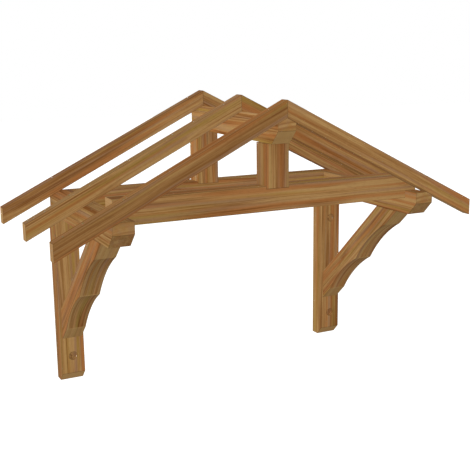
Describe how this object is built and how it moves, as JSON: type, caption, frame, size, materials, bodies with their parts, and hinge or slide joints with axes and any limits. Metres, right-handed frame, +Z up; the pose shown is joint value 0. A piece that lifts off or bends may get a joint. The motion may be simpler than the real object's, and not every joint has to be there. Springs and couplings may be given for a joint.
{
  "type": "porch canopy",
  "caption": "Open timber frame for a gabled canopy over a door: braced wall brackets carry tie beams, king posts, a ridge beam and plain rafters, ready for roof boards.",
  "frame": {"origin": "centre of the wall tie beam's back face, which lies against the wall", "axes": "+X to the right as seen from the front, +Y into the wall, +Z up; the canopy reaches out towards -Y"},
  "size_m": [1.731, 0.779, 1.1821],
  "materials": {
    "timber": "brown stained timber, satin, with long streaky grain",
    "rafter": "brown stained timber, satin, with long streaky grain"
  },
  "bodies": {
    "root": {"left_post": "timber", "right_post": "timber", "left_arm": "timber", "right_arm": "timber", "left_brace": "timber", "right_brace": "timber", "front_tie_beam": "timber", "wall_tie_beam": "timber", "front_king_post": "timber", "rear_king_post": "timber", "ridge_beam": "timber", "front_left_rafter": "rafter", "front_right_rafter": "rafter", "middle_left_rafter": "rafter", "middle_right_rafter": "rafter", "rear_left_rafter": "rafter", "rear_right_rafter": "rafter"}
  },
  "joints": []
}
